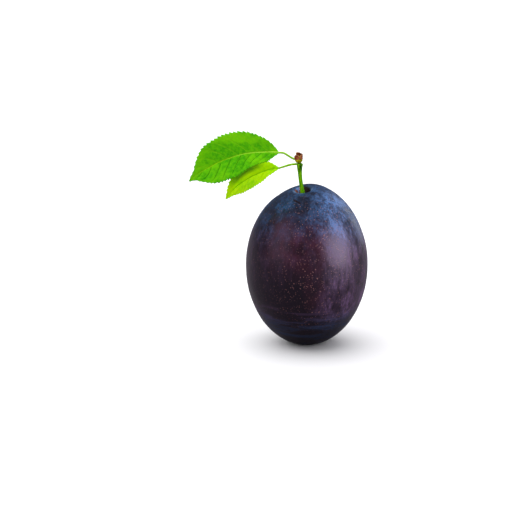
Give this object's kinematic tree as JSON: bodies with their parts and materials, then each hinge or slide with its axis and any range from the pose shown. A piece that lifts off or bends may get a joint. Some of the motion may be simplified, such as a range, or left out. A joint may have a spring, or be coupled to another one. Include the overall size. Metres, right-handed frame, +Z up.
{
  "type": "plum",
  "caption": "A whole dark blue plum with a waxy bloom, standing on end, its green stalk still bearing a woody spur tip and fresh leaves",
  "frame": {"origin": "centre of the flat spot that the fruit stands on, at the blossom end", "axes": "+Z up towards the stalk, -Y towards the front of the fruit, leaves reach out towards -X"},
  "size_m": [0.0627, 0.0432, 0.0761],
  "materials": {
    "plum_skin": "satin",
    "stalk": "satin",
    "spur_bark": "matte",
    "bud_scales": "matte",
    "large_leaf_blade": "satin",
    "small_leaf_blade": "satin"
  },
  "bodies": {
    "root": {"fruit": "plum_skin", "fruit_stalk": "stalk", "spur": "spur_bark", "top_scale": "bud_scales", "left_scale": "bud_scales", "right_scale": "bud_scales", "large_leaf": "large_leaf_blade", "small_leaf": "small_leaf_blade"}
  },
  "joints": []
}
